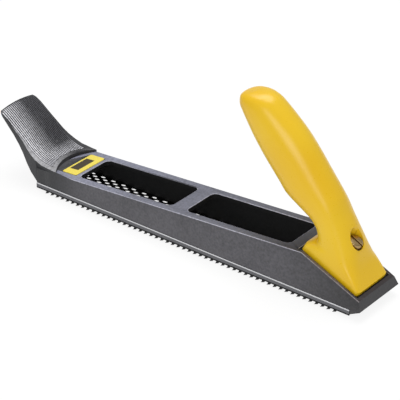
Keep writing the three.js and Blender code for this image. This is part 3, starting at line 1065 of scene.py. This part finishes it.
deselect_all()
bpy.ops.mesh.primitive_cube_add(size=1, location=(0, 0, head_top))
slot = name_active("slot_cutter")
bpy.ops.object.mode_set(mode="EDIT")
bpy.ops.transform.resize(value=slot_size)
close_mesh()
put_at(slot, slot.matrix_world)
cut_away(screw, slot)
open_mesh(screw)
pick(screw, "edges", is_slot_edge)
round_edges(slot_chamfer, 1)
close_mesh()
put_at(screw, seat_turn)
screw.data.materials.append(screw_steel)
smooth(screw)
print("screw", len(screw.data.polygons), "faces")

# %% Split washer
washer_low = 15.9 * MM
washer_high = 17.1 * MM
washer_inner = 2.8 * MM
washer_outer = 4.9 * MM
washer_round = 0.2 * MM
split_angle = math.radians(10)

deselect_all()
bpy.ops.mesh.primitive_plane_add(size=1, rotation=(math.radians(90), 0, 0))
washer = name_active("split_washer")
bpy.ops.object.transform_apply(rotation=True)
bpy.ops.object.mode_set(mode="EDIT")
pick_whole_mesh()
bpy.ops.transform.resize(value=(washer_outer - washer_inner, 1, washer_high - washer_low))
bpy.ops.mesh.bevel(offset=washer_round, segments=2, affect="VERTICES")
pick_whole_mesh()
bpy.ops.transform.translate(value=((washer_outer + washer_inner) / 2, 0, (washer_high + washer_low) / 2))
bpy.ops.transform.rotate(value=-split_angle / 2, orient_axis="Z", center_override=(0, 0, 0))
bpy.ops.mesh.spin(steps=48, angle=2 * math.pi - split_angle, center=(0, 0, 0), axis=(0, 0, 1))
pick_whole_mesh()
bpy.ops.mesh.remove_doubles(threshold=0.1 * WELD)
# With the whole mesh picked, this fill adds two stray faces. They cross the screw, and the
# washer's edge beside the screw's head looks darker with them.
bpy.ops.mesh.edge_face_add()
close_mesh()
open_mesh(washer)
pick(washer, "edges", lambda e: len(e.link_faces) == 1)
bpy.ops.mesh.edge_face_add()
face_outwards()
close_mesh()
put_at(washer, seat_turn)
washer.data.materials.append(screw_steel)
smooth(washer)
print("washer", len(washer.data.polygons), "faces")

# %% [markdown]
# ## Label plate
# A printed foil plate lies in a shallow recess. The panel could be an image, but a label without print
# needs none: the corners are rounded by a bevel of the upright edges, and an inset on the top face
# gives a plain dark panel with a yellow border.

# %% Label
label_corner = 1.2 * MM
label_border = 0.6 * MM
panel_share = (0.66, 0.6, 1)
panel_shift = 1.2 * MM


def is_label_corner(edge):
    """One of the short upright edges at the plate's corners."""
    return is_corner(edge, 60) and run(edge, 2) > 0.3 * MM and edge.calc_length() < 0.7 * MM


label = copy_of_node("label_plate", "label_foil")
label.data.materials.append(label_yellow)
label.data.materials.append(label_dark)
open_mesh(label)
pick(label, "edges", is_label_corner)
round_edges(label_corner, 4)
pick(label, "faces", lambda f: f.normal.z > 0.9)
bpy.ops.mesh.inset(thickness=label_border)
bpy.ops.transform.resize(value=panel_share)
bpy.ops.transform.translate(value=(panel_shift, 0, -panel_shift * deck_slope))
paint_picked(label, 1)
close_mesh()
smooth(label)
print("label", len(label.data.polygons), "faces")

# %% [markdown]
# ## Shoe and nut
# The tension shoe and its square nut are inside the heel, where no view from above shows them. They
# could stay as CAD nodes, but a casting and a nut have no knife edges. So merged copies of the solids
# get bevelled edges: wide ones on the cast shoe, fine ones on the plated nut.

# %% Shoe and nut
shoe = copy_of_node("tension_shoe", "tension_shoe_casting")
nut = copy_of_node("square_nut", "square_nut_plated")
for piece, finish, size in ((shoe, cast_zinc, 0.5 * MM), (nut, screw_steel, 0.25 * MM)):
    open_mesh(piece)
    pick(piece, "edges", lambda e: is_corner(e, 50) and e.calc_length() > 2 * size)
    round_edges(size, 2)
    close_mesh()
    piece.data.materials.append(finish)
    smooth(piece)
    print(piece.name, len(piece.data.polygons), "faces")

# %% [markdown]
# ## The thumb rest's ribs
# Fine ribs run along the thumb rest, crossed by shallow grooves. A bump could draw them, but they
# stand proud and catch the light, so they are modelled. A flat grid is dropped on the body with a
# Shrinkwrap modifier, every second column of faces is raised into a rib, and every second row of
# corners on the raised faces is pressed down again.

# %% Drop a grid on the thumb rest
rib_pitch = 1.42 * MM
rib_height = 0.45 * MM
rib_columns = 2 * 28
grid_rows = 2 * 36
notch_depth = 0.12 * MM
rib_area_half = 16.6 * MM
arc_margin = 2.6 * MM
body_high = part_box("body_casting")[1]
grid_start = pad_start_x + 6 * MM
grid_end = body_high.x - 1.2 * MM
grid_height = 60 * MM


def off_pad(vert):
    """A corner of the grid that missed the body, or that lies too near the arc or the sides."""
    if vert.co.z > grid_height - 5 * MM:
        return True
    from_centre = math.hypot(vert.co.x - land_centre_x, vert.co.y)
    return from_centre < land_radius + arc_margin or abs(vert.co.y) > rib_area_half


deselect_all()
bpy.ops.mesh.primitive_grid_add(x_subdivisions=grid_rows, y_subdivisions=rib_columns, size=1)
ribs = name_active("thumb_ribs")
bpy.ops.object.mode_set(mode="EDIT")
pick_whole_mesh()
bpy.ops.transform.resize(value=(grid_end - grid_start, rib_columns * rib_pitch / 2, 1))
bpy.ops.transform.translate(value=((grid_end + grid_start) / 2, 0, grid_height))
close_mesh()
drop = ribs.modifiers.new("drop", "SHRINKWRAP")
drop.wrap_method = "PROJECT"
drop.use_project_z = True
drop.use_negative_direction = True
drop.use_positive_direction = False
drop.target = body
apply_modifiers(ribs)
open_mesh(ribs)
lost = pick(ribs, "verts", off_pad)
bpy.ops.mesh.delete(type="VERT")
close_mesh()
print("grid vertices off the pad", lost, "kept", len(ribs.data.vertices))

# %% Raise the ribs and notch them
# Painted highlight on the ribs' near side and lower end, painted shade on their far side.
rib_paint_highlight_and_shade = grey_paint("rib_paint_highlight_and_shade", colour(226, 226, 232), 0.3, painted_light_turns=(
    (1, 13, -3, colour(88, 88, 93)), (0, 114, 107, colour(200, 200, 206))))
grid_side = -rib_columns * rib_pitch / 4
column_width = rib_pitch / 2
row_length = (grid_end - grid_start) / grid_rows


def in_rib_column(face):
    column = math.floor((face.calc_center_median().y - grid_side) / column_width + 0.001)
    return column % 2 == 0


# The grooves between the ribs get painted shade, near black.
ribs.data.materials.append(painted_shade_black)
ribs.data.materials.append(rib_paint_highlight_and_shade)
open_mesh(ribs)
pick(ribs, "faces", in_rib_column)
bpy.ops.mesh.extrude_region_shrink_fatten(TRANSFORM_OT_shrink_fatten={"value": rib_height})
paint_picked(ribs, 1)
tops = {v.index for v in bmesh.from_edit_mesh(ribs.data).verts if v.select}
pick(ribs, "verts", lambda v: v.index in tops and round((v.co.x - grid_start) / row_length) % 2 == 0)
bpy.ops.transform.translate(value=(0, 0, -notch_depth))
close_mesh()
smooth(ribs, 20)
print("ribs", len(ribs.data.polygons), "faces")

# %% [markdown]
# ## Floor and light
# The floor is white to the camera and keeps a faint shadow. It could be lit until it is white, but
# that would bleach the plane, so Light Path makes it glow for the camera and for reflections alone.
# A large soft lamp overhead, a small one at the heel and an even world light the plane at a level
# where a colour renders about as it is written.

# %% Floor
floor_size = 6
floor_height = -0.2 * MM
glow_share = 0.82
glow_strength = 1.06

deselect_all()
bpy.ops.mesh.primitive_plane_add(size=floor_size, location=(0, 0, floor_height))
floor = name_active("studio_floor")
white = Finish("floor_white")
white.set(Base_Color=(0.86, 0.86, 0.86, 1), Roughness=0.9)
seen = (white.node("ShaderNodeLightPath", output="Is Camera Ray")
        + white.node("ShaderNodeLightPath", output="Is Glossy Ray")
        + white.node("ShaderNodeLightPath", output="Is Transmission Ray"))
glow = white.node("ShaderNodeEmission", None, {"Color": (1, 1, 1, 1), "Strength": glow_strength},
                  output="Emission")
mixed = white.node("ShaderNodeMixShader", None, {
    0: white.node("ShaderNodeMath", {"operation": "MINIMUM"}, {0: seen * glow_share, 1: glow_share}),
    1: Signal(white, white.shader.outputs[0]), 2: glow}, output="Shader")
white.tree.links.new(mixed.socket, white.tree.nodes["Material Output"].inputs["Surface"])
floor.data.materials.append(white.material)
print("floor nodes", len(white.tree.nodes))

# %% World and lamps
light_on_plane = 0.44
light_to_camera = 1.0

world = bpy.data.worlds.new("studio_world")
world.use_nodes = True
bpy.context.scene.world = world
sky = world.node_tree.nodes["Background"]
sky.inputs["Color"].default_value = (1, 1, 1, 1)
ray = world.node_tree.nodes.new("ShaderNodeLightPath")
level = world.node_tree.nodes.new("ShaderNodeMapRange")
level.inputs["To Min"].default_value = light_on_plane
level.inputs["To Max"].default_value = light_to_camera
world.node_tree.links.new(ray.outputs["Is Camera Ray"], level.inputs["Value"])
world.node_tree.links.new(level.outputs["Result"], sky.inputs["Strength"])


def soft_lamp(name, place, aim, width, power):
    """A square area lamp. Places and width are in metres, power in watts."""
    bpy.ops.object.light_add(type="AREA", location=place)
    lamp = bpy.context.active_object
    lamp.name = name
    lamp.data.shape = "RECTANGLE"
    lamp.data.size = width
    lamp.data.size_y = width
    lamp.data.energy = power
    lamp.visible_camera = False
    lamp.rotation_euler = (Vector(aim) - Vector(place)).to_track_quat("-Z", "Y").to_euler()


soft_lamp("overhead_lamp", place=(0.2, -0.3, 1.3), aim=(0, 0, 0), width=0.9, power=10)
soft_lamp("heel_lamp", place=(-0.3, 0.5, 0.35), aim=(-0.08, 0, 0.03), width=0.3, power=1.0)
bpy.context.scene.view_settings.view_transform = "Standard"

# %% [markdown]
# ## Onto the bodies
# Each piece rides on its CAD body, so that it moves with the joints, and takes the place of its node.
# The ribs have no node of their own and ride with the casting.

# %% Ride and replace
riders = [
    (body, "casting", "painted_casting", "body_casting"),
    (ribs, "casting", "painted_casting", None),
    (label, "casting", "label", "label_plate"),
    (blade, "blade", "blade_steel", "blade"),
    (grip, "handle", "handle_plastic", "handle"),
    (screw, "screw", "plated_steel", "handle_screw"),
    (washer, "washer", "plated_steel", "spring_washer"),
    (shoe, "shoe", "shoe_metal", "tension_shoe"),
    (nut, "shoe", "plated_steel", "square_nut"),
]
for piece, body_name, slot_name, node in riders:
    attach(piece, body_name)
    if node:
        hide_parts(node)
